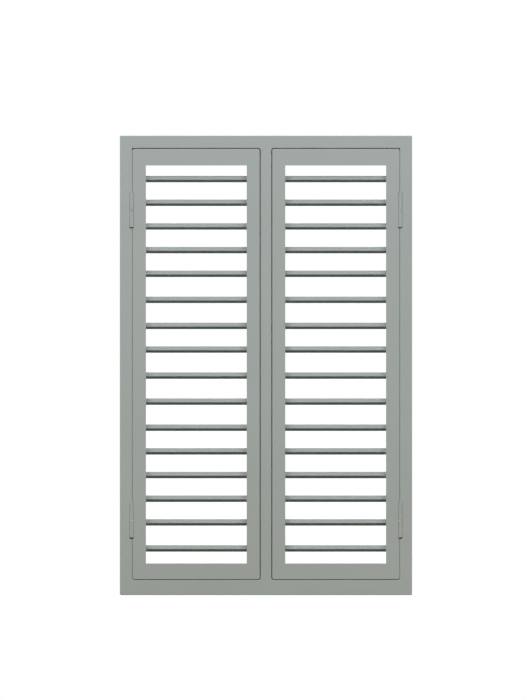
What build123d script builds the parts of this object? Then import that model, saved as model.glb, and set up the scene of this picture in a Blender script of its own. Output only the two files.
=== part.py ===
"""French window: a pressed-steel frame with a fixed grille, and two glazed sashes hung on bullet hinges."""

import os
from math import hypot
from typing import NamedTuple

from build123d import *

os.makedirs("parts", exist_ok=True)

# All lengths are millimetres. X runs along the wall, +Y goes indoors and +Z is up.
# The origin is the middle of the sill's underside, half way through the frame's depth.

# Frame, folded from sheet
overall_width = 1000.0
overall_height = 1572.0
frame_depth = 110.0
jamb_face = 42.0
head_face = 43.4
sill_face = 51.5
mullion_face = 37.4
rebate_depth = 36.0
stop_width = 12.0
frame_sheet = 1.6
frame_bend = 2.2
frame_corner = 4.0
rebate_corner = 8.0
tight_corner = 1.2

# Wall fixings, spread along each jamb
fixing_hole_radius = 5.25
fixing_setback = 22.0
fixing_height_shares = (0.125, 0.375, 0.625, 0.875)

# Sashes, folded from thinner sheet
hinge_gap = 0.5
lock_gap = 2.3
head_gap = 1.6
sill_gap = 1.0
sash_depth = 32.0
hinge_stile_face = 46.7
lock_stile_face = 45.0
top_rail_face = 57.2
bottom_rail_face = 55.4
sash_sheet = 1.2
sash_bend = 2.5
sash_corner = 7.0

# Glazing
lip_width = 12.0
lip_thickness = 2.4
glass_thickness = 5.0
glass_bite = 9.0
gasket_thickness = 2.0
gasket_reach = 11.0
bead_width = 11.0
bead_depth = 14.0
bead_sheet = 1.2

# Weather seal on the frame's stop
seal_width = 5.5
seal_setback = 1.5
seal_corner = 7.0
seal_clearance = 0.3

# Grille of square tube, turned so that one face looks up and out, with steps in two lengths
bar_size = 17.0
bar_corner = 1.8
bar_wall = 1.5
bar_turn_degrees = 35.0
bar_clearance = 2.0
bar_hole_clearance = 0.3
first_bar_height = 95.8
last_bar_drop = 93.2
bar_step_shares = (1.1, 1, 1, 1, 1, 1.1, 1.1, 1.1, 1, 1.1, 1.1, 1, 1, 1, 1)

# Bullet hinges
hinge_length = 120.0
hinge_radius = 7.0
hinge_nose = 3.0
hinge_inset = 40.3
hinge_proud = 1.0
hinge_end_distance = 255.0
hinge_notch_clearance = 0.35
hinge_notch_end = 0.6
pin_radius = 4.5
pin_clearance = 0.05
pin_length = 76.0
washer_thickness = 2.0
tang_thickness = 3.0
tang_depth = 25.0
tang_end = 6.0

# Sliding bolts and pull handles behind the lock stiles
hardware_width = 12.0
hardware_gap = 5.0
bolt_radius = 4.0
bolt_clearance = 0.08
bolt_offset = 13.0
bolt_travel = 20.0
bolt_start_gap = 3.0
bolt_tail = 14.0
bolt_chamfer = 1.0
bolt_hole_clearance = 0.6
guide_start_gap = 6.0
guide_block = 12.0
guide_cover = 3.0
guide_base = 2.0
guide_round = 1.5
knob_neck_radius = 3.0
knob_radius = 5.5
knob_reach = 16.0
knob_clearance = 0.5
handle_span = 100.0
handle_reach = 26.0
handle_radius = 5.0
handle_bend = 14.0
handle_foot_radius = 6.0
handle_foot_thickness = 2.5

# How far a cut runs past what it cuts
overrun = 1.0


class Area(NamedTuple):
    """A rectangle in the window's elevation, by its edges in X and Z."""

    left: float
    right: float
    bottom: float
    top: float

    def grown(self, by):
        """The same rectangle with every edge moved out by a distance."""
        return Area(self.left - by, self.right + by, self.bottom - by, self.top + by)


def elevation(y):
    """A plane at depth y that reads as the window seen from outside; extrusions from it come forward."""
    return Plane(origin=(0, y, 0), x_dir=(1, 0, 0), z_dir=(0, -1, 0))


def draw(area, corner=0.0, mode=Mode.ADD):
    """Draws an area in the sketch that is open, with its corners rounded if a radius is given."""
    with Locations(((area.left + area.right) / 2, (area.bottom + area.top) / 2)):
        if corner > 0:
            RectangleRounded(area.right - area.left, area.top - area.bottom, corner, mode=mode)
        else:
            Rectangle(area.right - area.left, area.top - area.bottom, mode=mode)


def save(builder, name):
    """Labels a finished piece and writes it."""
    builder.part.label = name
    export_step(builder.part, f"parts/{name}.step")


def save_pair(left, stem):
    """Writes a piece of the window's left side, and its mirror image for the right side."""
    save(left, f"{stem}_left")
    with BuildPart() as right:
        mirror(left.part, about=Plane.YZ)
    save(right, f"{stem}_right")


# Depths from front to back, shared by all pieces
front_y = -frame_depth / 2
back_y = frame_depth / 2
stop_y = front_y + rebate_depth
sash_back_y = front_y + sash_depth

# Areas of the frame
half_width = overall_width / 2
outline = Area(-half_width, half_width, 0, overall_height)
rebate_left = Area(-half_width + jamb_face, -mullion_face / 2, sill_face, overall_height - head_face)
rebate_right = Area(-rebate_left.right, -rebate_left.left, rebate_left.bottom, rebate_left.top)
rebates = (rebate_left, rebate_right)
tight_left = Area(
    rebate_left.left,
    rebate_left.left + 2 * rebate_corner,
    rebate_left.top - 2 * rebate_corner,
    rebate_left.top,
)
tight_right = Area(-tight_left.right, -tight_left.left, tight_left.bottom, tight_left.top)
ring_rebate = Area(rebate_left.left, rebate_right.right, rebate_left.bottom, rebate_left.top)
ring_clear = ring_rebate.grown(-stop_width)
clear_left = rebate_left.grown(-stop_width)
mullion_nose = Area(
    rebate_left.right,
    rebate_right.left,
    ring_rebate.bottom + rebate_corner,
    ring_rebate.top - rebate_corner,
)
mullion_rear = Area(clear_left.right, -clear_left.right, ring_clear.bottom, ring_clear.top)
mullion_neck = Area(mullion_nose.left, mullion_nose.right, ring_clear.bottom, ring_clear.top)

# Areas of the left sash
sash = Area(
    rebate_left.left + hinge_gap,
    rebate_left.right - lock_gap,
    rebate_left.bottom + sill_gap,
    rebate_left.top - head_gap,
)
sight = Area(
    sash.left + hinge_stile_face,
    sash.right - lock_stile_face,
    sash.bottom + bottom_rail_face,
    sash.top - top_rail_face,
)
glazing_pocket = sight.grown(lip_width)

# Places of the hinges
hinge_x = -half_width + hinge_inset
hinge_y = front_y - hinge_proud
hinge_heights = {"lower": hinge_end_distance, "upper": overall_height - hinge_end_distance}
notch_radius = hinge_radius + hinge_notch_clearance

# Places of the grille bars, whose corners clear the pull handles
bar_y = sash_back_y + handle_reach + handle_radius + bar_clearance + hypot(bar_size, bar_size) / 2
bar_run = (ring_clear.top - last_bar_drop) - (ring_clear.bottom + first_bar_height)
bar_heights = [
    ring_clear.bottom + first_bar_height + bar_run * sum(bar_step_shares[:step]) / sum(bar_step_shares)
    for step in range(len(bar_step_shares) + 1)
]

# Places of the bolts and handles
hardware_x = clear_left.right - hardware_gap - hardware_width / 2
bolt_y = sash_back_y + bolt_offset
bolt_hole_radius = bolt_radius + bolt_hole_clearance


# Frame: solid outline with its folds, before it is hollowed and cut into members.
# Each rebate's corners are rounded, with a tighter one over its hinges.
with BuildPart() as frame_blank:
    with BuildSketch(elevation(stop_y)):
        draw(outline, frame_corner)
        for rebate in rebates:
            draw(rebate, rebate_corner, Mode.SUBTRACT)
        for tight in (tight_left, tight_right):
            draw(tight, tight_corner, Mode.SUBTRACT)
    extrude(amount=rebate_depth)
    with BuildSketch(elevation(back_y)):
        draw(outline, frame_corner)
        for rebate in rebates:
            draw(rebate.grown(-stop_width), mode=Mode.SUBTRACT)
    extrude(amount=back_y - stop_y)
    front_and_back = frame_blank.faces().sort_by(Axis.Y)
    fold_edges = front_and_back[0].edges() + front_and_back[-1].edges()
    for face in frame_blank.faces().filter_by(Axis.Y).filter_by_position(Axis.Y, stop_y, stop_y):
        fold_edges += face.inner_wires()[0].edges()
    fillet(fold_edges, frame_bend)

# The space inside the folded sheet: one ring through jambs, head and sill, and one run in the mullion
with BuildPart() as frame_hollow:
    with BuildSketch(elevation(stop_y + frame_sheet)):
        draw(outline.grown(-frame_sheet), frame_corner - frame_sheet)
        draw(ring_rebate.grown(frame_sheet), mode=Mode.SUBTRACT)
    extrude(amount=rebate_depth)
    with BuildSketch(elevation(back_y - frame_sheet)):
        draw(outline.grown(-frame_sheet), frame_corner - frame_sheet)
        draw(ring_clear.grown(frame_sheet), mode=Mode.SUBTRACT)
    extrude(amount=back_y - stop_y - 2 * frame_sheet)
    front_and_back = frame_hollow.faces().sort_by(Axis.Y)
    fillet(front_and_back[0].edges() + front_and_back[-1].edges(), frame_bend - frame_sheet)

with BuildPart() as mullion_hollow:
    for area, y, depth in (
        (mullion_nose, stop_y, rebate_depth - frame_sheet),
        (mullion_neck, stop_y + frame_sheet, frame_sheet),
        (mullion_rear, back_y - frame_sheet, back_y - stop_y - 2 * frame_sheet),
    ):
        with BuildSketch(elevation(y)):
            draw(Area(area.left + frame_sheet, area.right - frame_sheet, area.bottom, area.top))
        extrude(amount=depth)

with BuildPart() as frame_shell:
    add(frame_blank.part)
    add(frame_hollow.part, mode=Mode.SUBTRACT)
    add(mullion_hollow.part, mode=Mode.SUBTRACT)

# The room that the mullion takes: its nose reaches the rounded welds, and its rear meets the stops
with BuildPart() as mullion_room:
    for area, y, depth in (
        (mullion_nose, stop_y, rebate_depth),
        (mullion_rear, back_y, back_y - stop_y),
    ):
        with BuildSketch(elevation(y)):
            draw(area)
        extrude(amount=depth)

# Mullion, pierced for the grille
with BuildPart() as mullion:
    add(frame_shell.part)
    add(mullion_room.part, mode=Mode.INTERSECT)
    with BuildSketch(Plane.YZ):
        with Locations(*[(bar_y, height) for height in bar_heights]):
            RectangleRounded(
                bar_size + 2 * bar_hole_clearance,
                bar_size + 2 * bar_hole_clearance,
                bar_corner + bar_hole_clearance,
                rotation=-bar_turn_degrees,
            )
    extrude(amount=mullion_rear.right + overrun, both=True, mode=Mode.SUBTRACT)
save(mullion, "mullion")


def corner(area, name):
    """The point at a named corner of an area, such as "top left"."""
    level, side = name.split()
    return (getattr(area, side), getattr(area, level))


def keep_member(areas, start, end):
    """Keeps one member of a ring in the part that is open, mitred at two corners of the nested areas."""
    outward = [corner(area, start) for area in reversed(areas)]
    inward = [corner(area, end) for area in areas]
    with BuildSketch(elevation(back_y + overrun)) as kept:
        with BuildLine():
            Polyline(*outward, *inward, close=True)
        make_face()
    extrude(kept.sketch, amount=frame_depth + 2 * overrun, mode=Mode.INTERSECT)


def cut_hinge_notches(x):
    """Cuts the round notches that the hinges' knuckles stand in, about x, in the part that is open."""
    for height in hinge_heights.values():
        notch_length = hinge_length + 2 * hinge_notch_end
        with BuildSketch(Plane.XY.offset(height - notch_length / 2)) as notch:
            with Locations((x, hinge_y)):
                Circle(notch_radius)
        extrude(notch.sketch, amount=notch_length, mode=Mode.SUBTRACT)


def cut_bolt_holes(bottom, top):
    """Cuts a hole for each sash's bolt between two heights, in the part that is open."""
    with BuildSketch(Plane.XY.offset(bottom)) as holes:
        with Locations((hardware_x, bolt_y), (-hardware_x, bolt_y)):
            Circle(bolt_hole_radius)
    extrude(holes.sketch, amount=top - bottom, mode=Mode.SUBTRACT)


# Each frame mitre runs from the outer corner through the rebate's corner to the stop's corner and past it
frame_mitre = (outline, ring_rebate, ring_clear.grown(-overrun))

# Jambs, drilled through for the wall fixings and notched for the hinges
for side, x in (("left", hinge_x), ("right", -hinge_x)):
    with BuildPart() as jamb:
        add(frame_shell.part)
        keep_member(frame_mitre, f"bottom {side}", f"top {side}")
        with BuildSketch(Plane.YZ):
            for share in fixing_height_shares:
                with Locations((stop_y + fixing_setback, share * overall_height)):
                    Circle(fixing_hole_radius)
        extrude(amount=half_width + overrun, both=True, mode=Mode.SUBTRACT)
        cut_hinge_notches(x)
    save(jamb, f"frame_jamb_{side}")

# Head, with a hole in its soffit for each upper bolt
with BuildPart() as head:
    add(frame_shell.part)
    add(mullion_room.part, mode=Mode.SUBTRACT)
    keep_member(frame_mitre, "top left", "top right")
    cut_bolt_holes(ring_clear.top - overrun, ring_clear.top + frame_sheet + overrun)
save(head, "frame_head")

# Sill, with a hole in its top for each lower bolt
with BuildPart() as sill:
    add(frame_shell.part)
    add(mullion_room.part, mode=Mode.SUBTRACT)
    keep_member(frame_mitre, "bottom left", "bottom right")
    cut_bolt_holes(ring_clear.bottom - frame_sheet - overrun, ring_clear.bottom + overrun)
save(sill, "frame_sill")

# Grille bars, which run from jamb to jamb through the mullion
for number, height in enumerate(reversed(bar_heights), start=1):
    with BuildPart() as bar:
        with BuildSketch(Plane.YZ):
            with Locations((bar_y, height)):
                RectangleRounded(bar_size, bar_size, bar_corner, rotation=-bar_turn_degrees)
                RectangleRounded(
                    bar_size - 2 * bar_wall,
                    bar_size - 2 * bar_wall,
                    bar_corner - bar_wall,
                    rotation=-bar_turn_degrees,
                    mode=Mode.SUBTRACT,
                )
        extrude(amount=ring_clear.right, both=True)
    save(bar, f"grille_bar_{number:02d}")

# Weather seals, one rubber ring round each opening, seated on the stop
with BuildPart() as seals:
    with BuildSketch(elevation(stop_y)):
        for rebate in rebates:
            draw(rebate.grown(-seal_setback), seal_corner)
            draw(rebate.grown(-seal_setback - seal_width), mode=Mode.SUBTRACT)
    extrude(amount=stop_y - sash_back_y - seal_clearance)
save(seals, "weather_seals")

# Sash: solid outline with its folds and glazing lip, before it is hollowed and cut into members
with BuildPart() as sash_blank:
    with BuildSketch(elevation(front_y + lip_thickness)):
        draw(sash, sash_corner)
        draw(sight, mode=Mode.SUBTRACT)
    extrude(amount=lip_thickness)
    with BuildSketch(elevation(sash_back_y)):
        draw(sash, sash_corner)
        draw(glazing_pocket, mode=Mode.SUBTRACT)
    extrude(amount=sash_depth - lip_thickness)
    front_and_back = sash_blank.faces().sort_by(Axis.Y)
    fold_edges = front_and_back[0].outer_wire().edges() + front_and_back[-1].outer_wire().edges()
    fillet(fold_edges, sash_bend)

with BuildPart() as sash_hollow:
    with BuildSketch(elevation(sash_back_y - sash_sheet)):
        draw(sash.grown(-sash_sheet), sash_corner - sash_sheet)
        draw(glazing_pocket.grown(sash_sheet), mode=Mode.SUBTRACT)
    extrude(amount=sash_depth - 2 * sash_sheet)
    front_and_back = sash_hollow.faces().sort_by(Axis.Y)
    fold_edges = front_and_back[0].outer_wire().edges() + front_and_back[-1].outer_wire().edges()
    fillet(fold_edges, sash_bend - sash_sheet)

with BuildPart() as sash_shell:
    add(sash_blank.part)
    add(sash_hollow.part, mode=Mode.SUBTRACT)

# Sash members, mitred from the sash's corners through the pocket's corners to the sight opening's
sash_mitre = (sash, glazing_pocket, sight)
for stem, start, end in (
    ("hinge_stile", "bottom left", "top left"),
    ("lock_stile", "bottom right", "top right"),
    ("top_rail", "top left", "top right"),
    ("bottom_rail", "bottom left", "bottom right"),
):
    with BuildPart() as member:
        add(sash_shell.part)
        keep_member(sash_mitre, start, end)
        if stem == "hinge_stile":
            cut_hinge_notches(hinge_x)
    save_pair(member, stem)

# Glass, in a channel gasket that fills the pocket between the lip and the beads
glass_area = sight.grown(glass_bite)
gasket_back_y = front_y + lip_thickness + glass_thickness + 2 * gasket_thickness
glass_back_y = gasket_back_y - gasket_thickness
with BuildPart() as glass:
    with BuildSketch(elevation(glass_back_y)):
        draw(glass_area)
    extrude(amount=glass_thickness)
save_pair(glass, "glass")

with BuildPart() as gasket:
    with BuildSketch(elevation(gasket_back_y)):
        draw(glazing_pocket)
        draw(glazing_pocket.grown(-gasket_reach), mode=Mode.SUBTRACT)
    extrude(amount=glass_thickness + 2 * gasket_thickness)
    add(glass.part, mode=Mode.SUBTRACT)
save_pair(gasket, "glazing_gasket")

# Glazing beads, folded channels against the gasket, with the uprights full height
bead_inner = glazing_pocket.grown(-bead_width)
bead_y = gasket_back_y + bead_depth / 2
with BuildPart() as upright_beads:
    for edge, sign in ((glazing_pocket.left, 1), (glazing_pocket.right, -1)):
        with BuildSketch(Plane.XY.offset(glazing_pocket.bottom)):
            with Locations((edge + sign * bead_width / 2, bead_y)):
                Rectangle(bead_width, bead_depth)
            with Locations((edge + sign * (bead_width / 2 - bead_sheet), bead_y)):
                Rectangle(bead_width, bead_depth - 2 * bead_sheet, mode=Mode.SUBTRACT)
        extrude(amount=glazing_pocket.top - glazing_pocket.bottom)
save_pair(upright_beads, "upright_beads")

with BuildPart() as cross_beads:
    for edge, sign in ((glazing_pocket.bottom, 1), (glazing_pocket.top, -1)):
        with BuildSketch(Plane.YZ.offset(bead_inner.left)):
            with Locations((bead_y, edge + sign * bead_width / 2)):
                Rectangle(bead_depth, bead_width)
            with Locations((bead_y, edge + sign * (bead_width / 2 - bead_sheet))):
                Rectangle(bead_depth - 2 * bead_sheet, bead_width, mode=Mode.SUBTRACT)
        extrude(amount=bead_inner.right - bead_inner.left)
save_pair(cross_beads, "cross_beads")


def build_knuckle(height, direction, tang_x):
    """One knuckle of a hinge, up (1) or down (-1) from the washer, with its tang's left face at tang_x."""
    knuckle_length = (hinge_length - washer_thickness) / 2
    start = height + direction * washer_thickness / 2
    bore_depth = pin_length / 2 - washer_thickness / 2 + pin_clearance
    with BuildPart() as knuckle:
        with BuildSketch(Plane.XY.offset(start)):
            with Locations((hinge_x, hinge_y)):
                Circle(hinge_radius)
        extrude(amount=direction * knuckle_length)
        nose_face = knuckle.faces().sort_by(lambda face: direction * face.center().Z)[-1]
        fillet(nose_face.edges(), hinge_nose)
        with BuildSketch(Plane.XY.offset(start + direction * tang_end)):
            with Locations((tang_x + tang_thickness / 2, hinge_y + tang_depth / 2)):
                Rectangle(tang_thickness, tang_depth)
        extrude(amount=direction * (knuckle_length - tang_end - hinge_nose))
        with BuildSketch(Plane.XY.offset(start)):
            with Locations((hinge_x, hinge_y)):
                Circle(pin_radius + pin_clearance)
        extrude(amount=direction * bore_depth, mode=Mode.SUBTRACT)
    return knuckle


# Hinge knuckles: the lower one is welded inside the jamb's web and the upper one inside the hinge stile
jamb_tang_x = rebate_left.left - frame_sheet - tang_thickness
stile_tang_x = sash.left + sash_sheet
for place, height in hinge_heights.items():
    save_pair(build_knuckle(height, -1, jamb_tang_x), f"{place}_hinge_frame_knuckle")
    save_pair(build_knuckle(height, 1, stile_tang_x), f"{place}_hinge_sash_knuckle")

# Hinge pins and washers, alike at all four hinges
hinge_xs = (hinge_x, -hinge_x)
with BuildPart() as hinge_pins:
    for height in hinge_heights.values():
        with BuildSketch(Plane.XY.offset(height)):
            with Locations(*[(x, hinge_y) for x in hinge_xs]):
                Circle(pin_radius)
        extrude(amount=pin_length / 2, both=True)
save(hinge_pins, "hinge_pins")

with BuildPart() as hinge_washers:
    for height in hinge_heights.values():
        with BuildSketch(Plane.XY.offset(height)):
            with Locations(*[(x, hinge_y) for x in hinge_xs]):
                Circle(hinge_radius)
                Circle(pin_radius + pin_clearance, mode=Mode.SUBTRACT)
        extrude(amount=washer_thickness / 2, both=True)
save(hinge_washers, "hinge_washers")

# Sliding bolts on the lock stiles, drawn back: the upper ones rise into the head, the lower ones drop
guide_length = 2 * guide_block + 2 * knob_neck_radius + 2 * knob_clearance + bolt_travel
guide_depth = bolt_offset + bolt_radius + guide_cover
for place, soffit, direction in (("upper", ring_clear.top, 1), ("lower", ring_clear.bottom, -1)):
    guide_start = soffit - direction * guide_start_gap
    with BuildPart() as guide:
        for block_start in (guide_start, guide_start - direction * (guide_length - guide_block)):
            with BuildSketch(Plane.XY.offset(block_start)) as block_outline:
                with Locations((hardware_x, sash_back_y + guide_depth / 2)):
                    Rectangle(hardware_width, guide_depth)
                fillet(block_outline.vertices().group_by(Axis.Y)[-1], guide_round)
                with Locations((hardware_x, bolt_y)):
                    Circle(bolt_radius + bolt_clearance, mode=Mode.SUBTRACT)
            extrude(amount=-direction * guide_block)
        with BuildSketch(Plane.XY.offset(guide_start)):
            with Locations((hardware_x, sash_back_y + guide_base / 2)):
                Rectangle(hardware_width, guide_base)
        extrude(amount=-direction * guide_length)
    save_pair(guide, f"{place}_bolt_guide")

    with BuildPart() as bolt:
        tip = soffit - direction * bolt_start_gap
        tail = guide_start - direction * (guide_length + bolt_tail)
        with BuildSketch(Plane.XY.offset(tail)):
            with Locations((hardware_x, bolt_y)):
                Circle(bolt_radius)
        extrude(amount=tip - tail)
        tip_face = bolt.faces().sort_by(lambda face: direction * face.center().Z)[-1]
        chamfer(tip_face.edges(), bolt_chamfer)
        knob_z = guide_start - direction * (guide_length - guide_block - knob_clearance - knob_neck_radius)
        with BuildSketch(elevation(bolt_y + knob_reach)):
            with Locations((hardware_x, knob_z)):
                Circle(knob_neck_radius)
        extrude(amount=knob_reach)
        with Locations((hardware_x, bolt_y + knob_reach, knob_z)):
            Sphere(knob_radius)
    save_pair(bolt, f"{place}_bolt")

# Pull handle, one bent bar with a foot at each end, at the middle of the lock stile
handle_z = (sash.bottom + sash.top) / 2
with BuildPart() as handle:
    with BuildLine() as handle_path:
        FilletPolyline(
            (hardware_x, sash_back_y, handle_z - handle_span / 2),
            (hardware_x, sash_back_y + handle_reach, handle_z - handle_span / 2),
            (hardware_x, sash_back_y + handle_reach, handle_z + handle_span / 2),
            (hardware_x, sash_back_y, handle_z + handle_span / 2),
            radius=handle_bend,
        )
    with BuildSketch(Plane(origin=handle_path.line @ 0, z_dir=handle_path.line % 0)):
        Circle(handle_radius)
    sweep()
    with BuildSketch(elevation(sash_back_y + handle_foot_thickness)):
        with Locations(
            (hardware_x, handle_z - handle_span / 2),
            (hardware_x, handle_z + handle_span / 2),
        ):
            Circle(handle_foot_radius)
    extrude(amount=handle_foot_thickness)
save_pair(handle, "pull_handle")
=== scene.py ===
import bpy
import numpy as np
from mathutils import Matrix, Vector


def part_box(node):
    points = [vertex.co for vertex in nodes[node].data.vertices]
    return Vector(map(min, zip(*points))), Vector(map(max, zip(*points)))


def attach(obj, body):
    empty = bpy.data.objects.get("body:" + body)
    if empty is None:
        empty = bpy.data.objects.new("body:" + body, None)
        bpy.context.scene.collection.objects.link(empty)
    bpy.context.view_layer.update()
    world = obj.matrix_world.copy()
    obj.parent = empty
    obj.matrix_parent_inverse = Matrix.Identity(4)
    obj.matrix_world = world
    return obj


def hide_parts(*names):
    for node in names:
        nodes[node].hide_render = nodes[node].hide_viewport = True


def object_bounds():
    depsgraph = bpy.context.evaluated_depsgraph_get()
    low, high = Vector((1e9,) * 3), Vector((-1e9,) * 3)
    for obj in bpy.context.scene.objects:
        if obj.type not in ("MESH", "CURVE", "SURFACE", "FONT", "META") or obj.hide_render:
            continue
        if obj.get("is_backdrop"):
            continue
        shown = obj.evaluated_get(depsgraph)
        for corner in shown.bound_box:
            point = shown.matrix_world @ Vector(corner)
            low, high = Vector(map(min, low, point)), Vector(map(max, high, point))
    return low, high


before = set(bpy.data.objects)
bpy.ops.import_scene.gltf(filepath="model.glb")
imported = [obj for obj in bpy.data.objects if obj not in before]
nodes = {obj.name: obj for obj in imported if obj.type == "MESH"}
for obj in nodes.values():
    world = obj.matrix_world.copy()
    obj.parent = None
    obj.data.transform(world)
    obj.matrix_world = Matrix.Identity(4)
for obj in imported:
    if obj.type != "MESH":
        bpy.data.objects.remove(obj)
cad_low, cad_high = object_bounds()


# Frame: head, sill, jambs and mullion. Each is galvanised sheet folded into a hollow section,
# mitred and welded, ground flush and powder coated in a satin stone grey.
def add_node(tree, kind, operation=None, **values):
    """A node of a kind in a tree, with its operation, and with inputs set or linked by their labels."""
    node = tree.nodes.new(kind)
    if operation:
        node.operation = operation
    for label, value in values.items():
        fill(tree, node.inputs[label.replace("_", " ")], value)
    return node


def fill(tree, socket, value):
    """Links a socket to another socket, or sets it to a number or colour."""
    if isinstance(value, bpy.types.NodeSocket):
        tree.links.new(value, socket)
    else:
        socket.default_value = value


def combine(tree, operation, *values):
    """The result of a math node on sockets or numbers."""
    node = add_node(tree, "ShaderNodeMath", operation)
    for socket, value in zip(node.inputs, values):
        fill(tree, socket, value)
    return node.outputs[0]


def tinted(tree, colour, tint):
    """A colour times a tint, channel by channel; a tint that is a value darkens all channels alike."""
    node = add_node(tree, "ShaderNodeVectorMath", "MULTIPLY")
    fill(tree, node.inputs[0], colour)
    fill(tree, node.inputs[1], tint)
    return node.outputs[0]


def blend(tree, share, first, second, kind="RGBA"):
    """A mix of two colours, or of two numbers with the kind FLOAT, by a share from 0 to 1."""
    node = tree.nodes.new("ShaderNodeMix")
    node.data_type = kind
    for label, value in (("Factor", share), ("A", first), ("B", second)):
        fill(tree, node.inputs[label], value)
    return node.outputs["Result"]


def spread(tree, value, low, high, start=0.3, end=0.7):
    """Maps a socket's values from start..end to low..high, and holds them there."""
    node = add_node(tree, "ShaderNodeMapRange", Value=value)
    for label, number in (("From Min", start), ("From Max", end), ("To Min", low), ("To Max", high)):
        node.inputs[label].default_value = number
    return node.outputs["Result"]


def noise(tree, features, detail, roughness=0.5, stretch=(1.0, 1.0, 1.0)):
    """Noise on Object coordinates, with a number of features per metre that a stretch can squeeze by axis."""
    place = add_node(tree, "ShaderNodeTexCoord").outputs["Object"]
    mapped = add_node(tree, "ShaderNodeMapping", Vector=place, Scale=stretch).outputs["Vector"]
    texture = add_node(
        tree, "ShaderNodeTexNoise", Vector=mapped, Scale=features, Detail=detail, Roughness=roughness
    )
    return texture.outputs["Fac"]


def new_group(name, inputs, outputs):
    """An empty shader node group with its sockets; gives the group, its inputs and its outputs."""
    group = bpy.data.node_groups.new(name, "ShaderNodeTree")
    for label, (kind, default) in inputs.items():
        group.interface.new_socket(label, in_out="INPUT", socket_type=kind).default_value = default
    for label, kind in outputs.items():
        group.interface.new_socket(label, in_out="OUTPUT", socket_type=kind)
    return group, group.nodes.new("NodeGroupInput").outputs, group.nodes.new("NodeGroupOutput").inputs


def place_group(tree, group, **values):
    """A group's node in a material, with its inputs set or linked by their labels; gives its outputs."""
    node = tree.nodes.new("ShaderNodeGroup")
    node.node_tree = group
    for label, value in values.items():
        fill(tree, node.inputs[label], value)
    return node.outputs


def make_coat_and_painted_light():
    """Powder coat: clouds of tone, painted light that makes the top cooler and a little lighter and the foot
    warmer, painted olive-black shade on faces that look down, fine speckle, uneven gloss and orange peel."""
    group, given, result = new_group(
        "coat_and_painted_light",
        {"Colour": ("NodeSocketColor", (0.34, 0.36, 0.34, 1.0)), "Cloud": ("NodeSocketFloat", 0.02)},
        {"Colour": "NodeSocketColor", "Roughness": "NodeSocketFloat", "Height": "NodeSocketFloat"},
    )
    # Painted light: the top is tinted cooler and a little lighter, and the foot warmer.
    painted_warm_foot, painted_cool_top = (1.0, 0.997, 0.975, 1.0), (1.01, 1.018, 1.058, 1.0)
    # Painted shade: an olive-black tint for the faces that look down.
    unshaded, painted_underside_shade = (1.0, 1.0, 1.0, 1.0), (0.34, 0.37, 0.2, 1.0)
    place = add_node(group, "ShaderNodeTexCoord").outputs["Object"]
    height = add_node(group, "ShaderNodeSeparateXYZ", Vector=place).outputs["Z"]
    wander = spread(group, noise(group, features=5.0, detail=3.0), low=-0.25, high=0.25)
    painted_light_height = spread(group, combine(group, "ADD", height, wander), low=0.0, high=1.0, start=0.0, end=cad_high.z)
    clouds = spread(group, noise(group, features=3.5, detail=3.0), low=-1.0, high=1.0)
    facing = add_node(group, "ShaderNodeNewGeometry").outputs["Normal"]
    slope = add_node(group, "ShaderNodeSeparateXYZ", Vector=facing).outputs["Z"]
    painted_shade_mask = spread(group, slope, low=1.0, high=0.0, start=-0.7, end=-0.1)
    speckle = spread(group, noise(group, features=1400.0, detail=2.0), low=0.97, high=1.03)
    # Painted light: the cool top and warm foot tints are blended by height.
    tone = tinted(group, given["Colour"], blend(group, painted_light_height, painted_warm_foot, painted_cool_top))
    tone = tinted(group, tone, combine(group, "MULTIPLY_ADD", clouds, given["Cloud"], 1.0))
    # Painted shade: faces that look down are darkened towards olive black.
    tone = tinted(group, tone, blend(group, painted_shade_mask, unshaded, painted_underside_shade))
    fill(group, result["Colour"], tinted(group, tone, speckle))
    smudges = noise(group, features=40.0, detail=4.0)
    fill(group, result["Roughness"], spread(group, smudges, low=0.44, high=0.56))
    fill(group, result["Height"], noise(group, features=650.0, detail=2.0, roughness=0.4))
    return group


coat_and_painted_light = make_coat_and_painted_light()


def new_material(name):
    """A material with nodes; gives the material, its tree and its Principled shader."""
    material = bpy.data.materials.new(name)
    material.use_nodes = True
    return material, material.node_tree, material.node_tree.nodes["Principled BSDF"]


def raise_grain(tree, shader, height, strength, depth):
    """Bumps a shader's normal by a height socket, over a depth in metres."""
    bump = add_node(tree, "ShaderNodeBump", Strength=strength, Distance=depth, Height=height)
    fill(tree, shader.inputs["Normal"], bump.outputs["Normal"])


def coated_steel(name, colour, cloud, gloss):
    """Powder-coated steel of one colour and cloudiness, with its share of mirror gloss."""
    material, tree, shader = new_material(name)
    coat = place_group(tree, coat_and_painted_light, Colour=(*colour, 1.0), Cloud=cloud)
    fill(tree, shader.inputs["Base Color"], coat["Colour"])
    fill(tree, shader.inputs["Roughness"], coat["Roughness"])
    shader.inputs["Specular IOR Level"].default_value = gloss
    raise_grain(tree, shader, coat["Height"], strength=0.4, depth=0.0002)
    return material


def dress(material, *names):
    """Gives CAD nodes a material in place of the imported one."""
    for name in names:
        nodes[name].data.materials.clear()
        nodes[name].data.materials.append(material)


stone_grey, coat_cloud, satin_gloss = (0.338, 0.366, 0.343), 0.02, 0.2
frame_coat = coated_steel("frame_coat", stone_grey, coat_cloud, satin_gloss)
dress(frame_coat, "frame_head", "frame_sill", "frame_jamb_left", "frame_jamb_right", "mullion")


# Grille: square steel tubes turned so that one face looks up and out. They pass through the mullion and
# stop at the jambs, with a weld all round at each of these faces, and are then coated with the frame. Their
# grey carries a painted cool reflection of the sky.
def new_piece(name, points, faces, material, body):
    """A smooth mesh piece from an array of points and a list of faces, riding on a body."""
    mesh = bpy.data.meshes.new(name)
    mesh.from_pydata(points.reshape(-1, 3).tolist(), [], faces)
    mesh.polygons.foreach_set("use_smooth", np.ones(len(faces), bool))
    mesh.materials.append(material)
    piece = bpy.data.objects.new(name, mesh)
    bpy.context.scene.collection.objects.link(piece)
    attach(piece, body)
    return piece


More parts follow.
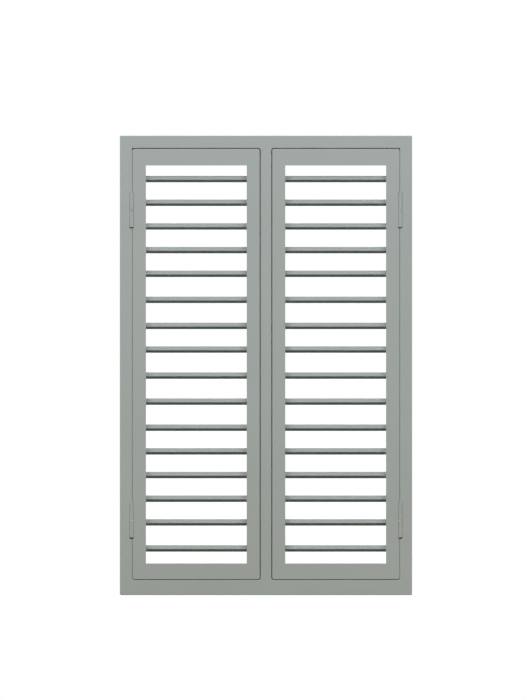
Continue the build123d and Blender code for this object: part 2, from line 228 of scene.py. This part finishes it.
def ring_faces(rings, around, across):
    """Quads over closed rings, whose points run around each ring and then across a closed profile."""
    ring, i, j = np.meshgrid(np.arange(rings), np.arange(around), np.arange(across), indexing="ij")
    here, ahead = (ring * around + i) * across, (ring * around + (i + 1) % around) * across
    beside = (j + 1) % across
    return np.stack((here + j, ahead + j, ahead + beside, here + beside), axis=-1).reshape(-1, 4)


def faced_out(points, quads):
    """The same quads, turned round if the volume that they enclose comes out negative."""
    corners = points.reshape(-1, 3)[quads]
    volume = np.einsum("ij,ij->", corners[:, 0], np.cross(corners[:, 1], corners[:, 2]))
    volume += np.einsum("ij,ij->", corners[:, 0], np.cross(corners[:, 2], corners[:, 3]))
    return (quads if volume > 0 else quads[:, ::-1]).tolist()


def weld_rings(centres, out, across, up, half, squareness, leg):
    """Fillet welds round bars: at angle t the bead's root lies at half / (|cos t|^n + |sin t|^n)^(1/n) from
    the bar's centre, n being the squareness. The profile is a hollow quarter-round of the leg's size, which
    swells with two sines of t, and it closes through a point sunk into the bar and the plate."""
    turn = np.linspace(0.0, 2 * np.pi, weld_steps, endpoint=False)[:, None]
    power_sum = np.abs(np.cos(turn)) ** squareness + np.abs(np.sin(turn)) ** squareness
    root = half / power_sum ** (1 / squareness)
    swell = 1.0 + ripple_share * np.sin(weld_ripples * turn) + wander_share * np.sin(weld_wanders * turn)
    bow = np.linspace(0.0, np.pi / 2, weld_profile - 1)
    along = np.append(np.sin(bow) ** weld_hollow, -weld_sink) * leg * swell
    beside = np.append(np.cos(bow) ** weld_hollow, -weld_sink) * leg * swell + root
    spoke = np.cos(turn)[..., None] * across[:, None, None] + np.sin(turn)[..., None] * up[:, None, None]
    return centres[:, None, None] + beside[..., None] * spoke + along[..., None] * out[:, None, None]


weld_steps, weld_profile, weld_hollow, weld_sink = 56, 7, 1.3, 0.2
weld_ripples, ripple_share, weld_wanders, wander_share = 22, 0.14, 3, 0.05
bar_size, bar_turn, bar_squareness, bar_weld_leg = 0.017, np.radians(-35.0), 9.0, 0.0026
# Painted reflection: the bars' grey is the frame's grey tinted cooler, as if by the sky that they reflect.
sky_tinted_bar_grey, bar_gloss = (0.338, 0.368, 0.362), 0.04
grille_coat = coated_steel("grille_coat", sky_tinted_bar_grey, coat_cloud, bar_gloss)
bar_names = sorted(name for name in nodes if name.startswith("grille_bar"))
dress(grille_coat, *bar_names)
bar_middles = np.array([(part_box(name)[0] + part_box(name)[1]) / 2 for name in bar_names])
jamb_face_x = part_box(bar_names[0])[1].x
mullion_face_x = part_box("mullion")[1].x
weld_planes = np.array([(-jamb_face_x, 1), (jamb_face_x, -1), (-mullion_face_x, -1), (mullion_face_x, 1)])
weld_middles = np.repeat(bar_middles[:, None], len(weld_planes), axis=1)
weld_middles[..., 0] = weld_planes[:, 0]
weld_middles = weld_middles.reshape(-1, 3)
weld_out = np.tile(weld_planes[:, 1:] * np.array((1.0, 0.0, 0.0)), (len(bar_names), 1))
bar_across = np.tile((0.0, np.cos(bar_turn), np.sin(bar_turn)), (len(weld_middles), 1))
bar_up = np.tile((0.0, -np.sin(bar_turn), np.cos(bar_turn)), (len(weld_middles), 1))
bar_welds = weld_rings(weld_middles, weld_out, bar_across, bar_up, bar_size / 2, bar_squareness, bar_weld_leg)
faces_right = weld_out[:, 0] > 0
for label, chosen in (("facing_right", faces_right), ("facing_left", ~faces_right)):
    points = bar_welds[chosen]
    quads = ring_faces(len(points), weld_steps, weld_profile)
    new_piece(f"bar_welds_{label}", points, faced_out(points, quads), grille_coat, "frame")


# Hinges: turned steel knuckles welded into the jamb and the stile and coated with them,
# with a zinc-plated washer between the two and a pin inside, so that a sash lifts off.
def make_drawn_metal():
    """Drawn metal: fine lines along Z from stretched noise, and stains that darken it in patches."""
    group, given, result = new_group(
        "drawn_metal",
        {"Colour": ("NodeSocketColor", (0.6, 0.6, 0.6, 1.0)), "Lines": ("NodeSocketFloat", 2000.0)},
        {"Colour": "NodeSocketColor", "Height": "NodeSocketFloat"},
    )
    lines = noise(group, features=given["Lines"], detail=3.0, roughness=0.6, stretch=(1.0, 1.0, 0.04))
    stains = spread(group, noise(group, features=60.0, detail=4.0), low=0.85, high=1.08)
    tone = tinted(group, given["Colour"], spread(group, lines, low=0.88, high=1.08))
    fill(group, result["Colour"], tinted(group, tone, stains))
    fill(group, result["Height"], lines)
    return group


drawn_metal = make_drawn_metal()


def bare_metal(name, colour, lines, smooth, dull):
    """Bare drawn metal of one colour and count of lines per metre, from smooth to dull across the lines."""
    material, tree, shader = new_material(name)
    metal = place_group(tree, drawn_metal, Colour=(*colour, 1.0), Lines=lines)
    fill(tree, shader.inputs["Base Color"], metal["Colour"])
    fill(tree, shader.inputs["Roughness"], spread(tree, metal["Height"], low=smooth, high=dull))
    shader.inputs["Metallic"].default_value = 1.0
    raise_grain(tree, shader, metal["Height"], strength=0.15, depth=0.00005)
    return material


knuckles = sorted(name for name in nodes if name.endswith(("knuckle_left", "knuckle_right")))
dress(frame_coat, *knuckles)
zinc_grey = (0.66, 0.67, 0.66)
zinc_plate = bare_metal("zinc_plate", zinc_grey, lines=2600.0, smooth=0.28, dull=0.43)
dress(zinc_plate, "hinge_pins", "hinge_washers")


# Weather seals: hollow black rubber bulbs, one ring round each opening, pressed on to the frame's stop
# where the back of a shut sash squeezes them.
def black_rubber(name):
    """Black rubber: a fine grain, and pale dust that gathers in patches."""
    material, tree, shader = new_material(name)
    grain = noise(tree, features=900.0, detail=3.0)
    dust = spread(tree, noise(tree, features=30.0, detail=4.0), low=0.7, high=1.8)
    fill(tree, shader.inputs["Base Color"], tinted(tree, rubber_black, dust))
    fill(tree, shader.inputs["Roughness"], spread(tree, grain, low=0.55, high=0.75))
    raise_grain(tree, shader, grain, strength=0.2, depth=0.0002)
    return material


def seal_ring(left, right, bottom, top, back, depth):
    """A bulb carried round a rounded rectangle: at corner angle t and profile angle a, a point lies at the
    corner's centre + (corner radius - width (1 - cos a) / 2) (cos t, sin t), and depth (sin a)^fullness
    forward."""
    turn = (np.arange(seal_corners)[:, None] + np.linspace(0.0, 1.0, corner_steps)) * np.pi / 2
    middle_x = np.array((right - seal_corner, left + seal_corner, left + seal_corner, right - seal_corner))
    middle_z = np.array((top - seal_corner, top - seal_corner, bottom + seal_corner, bottom + seal_corner))
    bow = np.linspace(0.0, np.pi, bulb_steps)
    reach = seal_corner - seal_width * (1 - np.cos(bow)) / 2
    x = middle_x[:, None, None] + np.cos(turn)[..., None] * reach
    z = middle_z[:, None, None] + np.sin(turn)[..., None] * reach
    y = np.broadcast_to(back - depth * np.sin(bow) ** bulb_fullness, x.shape)
    return np.stack((x, y, z), axis=-1).reshape(1, -1, bulb_steps, 3)


seal_width, seal_corner, seal_setback, stop_width = 0.0055, 0.007, 0.0015, 0.012
seal_corners, corner_steps, bulb_steps, bulb_fullness = 4, 9, 14, 0.8
rubber_black = (0.022, 0.023, 0.024)
seal_rubber = black_rubber("seal_rubber")
seal_low, seal_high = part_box("weather_seals")
seal_inner_x = mullion_face_x - stop_width + seal_setback
seal_points = np.concatenate([
    seal_ring(left, right, seal_low.z, seal_high.z, seal_high.y, seal_high.y - seal_low.y)
    for left, right in ((seal_low.x, -seal_inner_x), (seal_inner_x, seal_high.x))
])
seal_quads = faced_out(seal_points, ring_faces(len(seal_points), seal_corners * corner_steps, bulb_steps))
seals = new_piece("bulb_seals", seal_points, seal_quads, seal_rubber, "frame")
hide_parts("weather_seals")


# Sashes: thinner sheet folded into a box with a glazing lip, mitred, welded and coated as the frame.
# The pane is held in from indoors by folded beads, screwed through their webs to the sash.
def cross_head_screws(centres, out, across):
    """Raised screw heads: at share s of the radius and angle t, the height is edge + crown (1 - s^2), less a
    recess where sharpness cos (arms t) + width - taper s is above 0, out to the arms' ends. The last ring
    drops into the bead, and a pole closes each end."""
    up = np.cross(out, across)
    share = np.append(np.linspace(1 / screw_rings, 1.0, screw_rings), 1.0)[:, None]
    turn = np.linspace(0.0, 2 * np.pi, screw_steps, endpoint=False)[None]
    arm = np.clip(arm_sharpness * np.cos(screw_arms * turn) + arm_width - arm_taper * share, 0.0, 1.0)
    arm = arm * np.clip((arm_end - share) / arm_fade, 0.0, 1.0)
    height = screw_edge + screw_crown * (1.0 - share**2) - screw_recess * arm
    height[-1] = -screw_sink
    spoke = np.cos(turn)[..., None] * across[:, None, None] + np.sin(turn)[..., None] * up[:, None, None]
    skin = centres[:, None, None] + screw_radius * share[..., None] * spoke
    skin = skin + height[..., None] * out[:, None, None]
    crown = centres + (screw_edge + screw_crown - screw_recess) * out
    poles = np.stack((crown, centres - screw_sink * out), axis=1)
    return np.concatenate((skin.reshape(len(centres), -1, 3), poles), axis=1)


def screw_faces(count):
    """Quads between a head's rings, and triangles from its first and last ring to its two poles."""
    i, j = np.arange(screw_rings)[:, None] * screw_steps, np.arange(screw_steps)
    ahead = (j + 1) % screw_steps
    quads = np.stack((i + j, i + screw_steps + j, i + screw_steps + ahead, i + ahead), axis=-1).reshape(-1, 4)
    rim = screw_rings * screw_steps
    crown = np.full(screw_steps, rim + screw_steps)
    front, back = np.stack((j, ahead, crown), axis=-1), np.stack((rim + ahead, rim + j, crown + 1), axis=-1)
    caps = np.concatenate((front, back))
    heads = np.arange(count)[:, None, None] * (rim + screw_steps + 2)
    return (heads + quads).reshape(-1, 4).tolist() + (heads + caps).reshape(-1, 3).tolist()


screw_radius, screw_edge, screw_crown, screw_recess, screw_sink = 0.0034, 0.0001, 0.0007, 0.0009, 0.0008
arm_sharpness, arm_width, arm_taper, arm_end, arm_fade = 1.6, 0.9, 1.5, 0.72, 0.14
screw_arms, screw_rings, screw_steps, bead_width = 4, 7, 32, 0.011
upright_screw_shares = np.array((0.05, 0.23, 0.41, 0.59, 0.77, 0.95))
cross_screw_shares = np.array((0.12, 0.5, 0.88))
first_lean, last_lean = 0.2, 9.0
indoors = np.array((0.0, 1.0, 0.0))
sides = ("left", "right")
sash_coat = coated_steel("sash_coat", stone_grey, coat_cloud, satin_gloss)
for side in sides:
    dress(sash_coat, *[f"{part}_{side}" for part in ("hinge_stile", "lock_stile", "top_rail", "bottom_rail")])
    dress(sash_coat, f"upright_beads_{side}", f"cross_beads_{side}")
    low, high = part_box(f"upright_beads_{side}")
    cross_low, cross_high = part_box(f"cross_beads_{side}")
    middle_y = (low.y + high.y) / 2
    heights = low.z + upright_screw_shares * (high.z - low.z)
    widths = cross_low.x + cross_screw_shares * (cross_high.x - cross_low.x)
    rows = []
    for x, way in ((low.x + bead_width, 1.0), (high.x - bead_width, -1.0)):
        rows.append((np.stack(np.broadcast_arrays(x, middle_y, heights), axis=-1), (way, 0.0, 0.0)))
    for z, way in ((cross_low.z + bead_width, 1.0), (cross_high.z - bead_width, -1.0)):
        rows.append((np.stack(np.broadcast_arrays(widths, middle_y, z), axis=-1), (0.0, 0.0, way)))
    centres = np.concatenate([row for row, _ in rows])
    out = np.concatenate([np.tile(way, (len(row), 1)) for row, way in rows])
    lean = np.linspace(first_lean, last_lean, len(centres))[:, None]
    across = np.cos(lean) * np.cross(out, indoors) + np.sin(lean) * indoors
    heads = cross_head_screws(centres, out, across)
    faces = screw_faces(len(centres))
    new_piece(f"bead_screws_{side}", heads, faces, zinc_plate, f"sash_{side}")


# Glass and its gaskets: a clear float pane in a black rubber channel. Light on its way to the bars
# passes straight through the pane with a small loss.
def mix_shaders(tree, share, first, second):
    """A shader that mixes two others by a share from 0 to 1."""
    node = tree.nodes.new("ShaderNodeMixShader")
    for socket, value in zip(node.inputs, (share, first, second)):
        fill(tree, socket, value)
    return node.outputs[0]


def clear_glass(name):
    """A clear pane with faint smears, which lets shadow and diffuse rays pass as slightly tinted air."""
    material, tree, shader = new_material(name)
    wiped = noise(tree, features=9.0, detail=5.0, roughness=0.6, stretch=(1.0, 1.0, 0.45))
    smears = spread(tree, wiped, low=0.985, high=1.0)
    fill(tree, shader.inputs["Base Color"], tinted(tree, glass_tint, smears))
    shader.inputs["Transmission Weight"].default_value = 1.0
    shader.inputs["Roughness"].default_value = 0.0
    shader.inputs["IOR"].default_value = glass_index
    through = add_node(tree, "ShaderNodeBsdfTransparent", Color=passed_light)
    path = add_node(tree, "ShaderNodeLightPath").outputs
    passing = combine(tree, "MAXIMUM", path["Is Shadow Ray"], path["Is Diffuse Ray"])
    pane = mix_shaders(tree, passing, shader.outputs[0], through.outputs[0])
    fill(tree, tree.nodes["Material Output"].inputs["Surface"], pane)
    return material


glass_tint, glass_index, passed_light = (0.998, 1.0, 0.999), 1.45, (0.96, 0.97, 0.965, 1.0)
dress(clear_glass("clear_glass"), "glass_left", "glass_right")
dress(seal_rubber, "glazing_gasket_left", "glazing_gasket_right")


# Sliding bolts: zinc-plated rods with a ball to pull, in coated steel guides brazed to the lock stiles,
# one at the top and one at the foot of each sash.
for side in sides:
    for place in ("upper", "lower"):
        dress(sash_coat, f"{place}_bolt_guide_{side}")
        dress(zinc_plate, f"{place}_bolt_{side}")


# Pull handles: a satin stainless bar bent to a bow, its two feet welded to the back of the lock stile.
# A small weld runs round each foot.
foot_radius, foot_squareness, foot_weld_leg = 0.006, 2.0, 0.0014
steel_grey = (0.56, 0.56, 0.55)
satin_steel = bare_metal("satin_steel", steel_grey, lines=1800.0, smooth=0.34, dull=0.49)
for side in sides:
    dress(satin_steel, f"pull_handle_{side}")
    low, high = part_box(f"pull_handle_{side}")
    middle_x = (low.x + high.x) / 2
    feet = np.array([(middle_x, low.y, low.z + foot_radius), (middle_x, low.y, high.z - foot_radius)])
    ways = [np.tile(way, (len(feet), 1)) for way in (indoors, (1.0, 0.0, 0.0), (0.0, 0.0, 1.0))]
    points = weld_rings(feet, *ways, foot_radius, foot_squareness, foot_weld_leg)
    faces = faced_out(points, ring_faces(len(feet), weld_steps, weld_profile))
    new_piece(f"handle_welds_{side}", points, faces, satin_steel, f"sash_{side}")


# Studio: a white surround, a little brighter through the glass to make up for what the pane takes, and
# a paper floor that is white to the eye but sends little light back up. A wide lamp in front and above
# lights the face, and weaker ones light the back and the sides.
white = (1.0, 1.0, 1.0, 1.0)
brightness, brightness_through_glass = 1.0, 1.08
studio = bpy.data.worlds.new("studio")
bpy.context.scene.world = studio
studio.use_nodes = True
tree = studio.node_tree
direction = add_node(tree, "ShaderNodeTexCoord").outputs["Generated"]
up = add_node(tree, "ShaderNodeSeparateXYZ", Vector=direction).outputs["Z"]
path = add_node(tree, "ShaderNodeLightPath").outputs
lighting = spread(tree, up, low=0.01, high=0.5, start=0.2, end=0.9)
mirrored = spread(tree, up, low=0.12, high=1.0, start=0.0, end=0.8)
strength = blend(tree, path["Is Glossy Ray"], lighting, mirrored, "FLOAT")
strength = blend(tree, path["Is Transmission Ray"], strength, brightness_through_glass, "FLOAT")
strength = blend(tree, path["Is Camera Ray"], strength, brightness, "FLOAT")
fill(tree, tree.nodes["Background"].inputs["Strength"], strength)
tree.nodes["Background"].inputs["Color"].default_value = white

floor_reach = 4.0
floor_mesh = bpy.data.meshes.new("floor")
floor_corners = floor_reach * np.array([(-1, -1, 0), (1, -1, 0), (1, 1, 0), (-1, 1, 0)])
floor_mesh.from_pydata(floor_corners.tolist(), [], [(0, 1, 2, 3)])
floor = bpy.data.objects.new("floor", floor_mesh)
bpy.context.scene.collection.objects.link(floor)
floor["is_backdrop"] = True
glow_share, glow_strength = 0.3, 1.25
paper_white, dim_olive = (0.9, 0.9, 0.9, 1.0), (0.05, 0.052, 0.035, 1.0)
floor_paper, tree, paper = new_material("floor_paper")
paper.inputs["Base Color"].default_value = paper_white
paper.inputs["Roughness"].default_value = 0.9
glow = add_node(tree, "ShaderNodeEmission", Color=white, Strength=glow_strength)
dim = add_node(tree, "ShaderNodeBsdfDiffuse", Color=dim_olive)
path = add_node(tree, "ShaderNodeLightPath").outputs
seen = combine(tree, "MAXIMUM", path["Is Camera Ray"], path["Is Transmission Ray"])
seen = combine(tree, "MAXIMUM", seen, path["Is Glossy Ray"])
lit = mix_shaders(tree, glow_share, paper.outputs[0], glow.outputs[0])
fill(tree, tree.nodes["Material Output"].inputs["Surface"], mix_shaders(tree, seen, dim.outputs[0], lit))
floor_mesh.materials.append(floor_paper)


def add_lamp(name, place, width, height, power, in_reflections=True):
    """A rectangular lamp at a place, turned to the window's middle; it can be kept out of reflections."""
    lamp = bpy.data.lights.new(name, "AREA")
    lamp.shape = "RECTANGLE"
    lamp.size = width
    lamp.size_y = height
    lamp.energy = power
    holder = bpy.data.objects.new(name, lamp)
    holder.location = place
    holder.rotation_euler = (window_middle - Vector(place)).to_track_quat("-Z", "Y").to_euler()
    holder.visible_glossy = in_reflections
    bpy.context.scene.collection.objects.link(holder)


window_middle = Vector((0.0, 0.0, 0.8))
add_lamp("face_lamp", (0.0, -9.0, 5.6), width=7.0, height=1.4, power=1045.0, in_reflections=False)
add_lamp("back_lamp", (0.0, 8.0, 5.0), width=6.0, height=3.0, power=560.0)
add_lamp("left_lamp", (-8.0, 1.0, 3.5), width=5.0, height=3.0, power=300.0, in_reflections=False)
add_lamp("right_lamp", (8.0, 1.0, 3.5), width=5.0, height=3.0, power=300.0, in_reflections=False)

# Camera: straight on and without perspective, with the frame's edges at their places in the picture.
picture_width, picture_height = 525.0, 700.0
frame_left, frame_right, frame_top, frame_bottom = 119.9, 412.1, 135.67, 594.97
camera_distance = 4.0
metres_per_pixel = (cad_high.x - cad_low.x) / (frame_right - frame_left)
camera = bpy.data.cameras.new("camera")
camera.type = "ORTHO"
camera.ortho_scale = picture_height * metres_per_pixel
camera_object = bpy.data.objects.new("camera", camera)
camera_object.location = (
    (cad_low.x + cad_high.x) / 2 - ((frame_left + frame_right - picture_width) / 2) * metres_per_pixel,
    cad_low.y - camera_distance,
    (cad_low.z + cad_high.z) / 2 + ((frame_top + frame_bottom - picture_height) / 2) * metres_per_pixel,
)
camera_object.rotation_euler = (np.pi / 2, 0.0, 0.0)
bpy.context.scene.collection.objects.link(camera_object)
bpy.context.scene.camera = camera_object
bpy.context.scene.view_settings.view_transform = "Standard"

low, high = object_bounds()
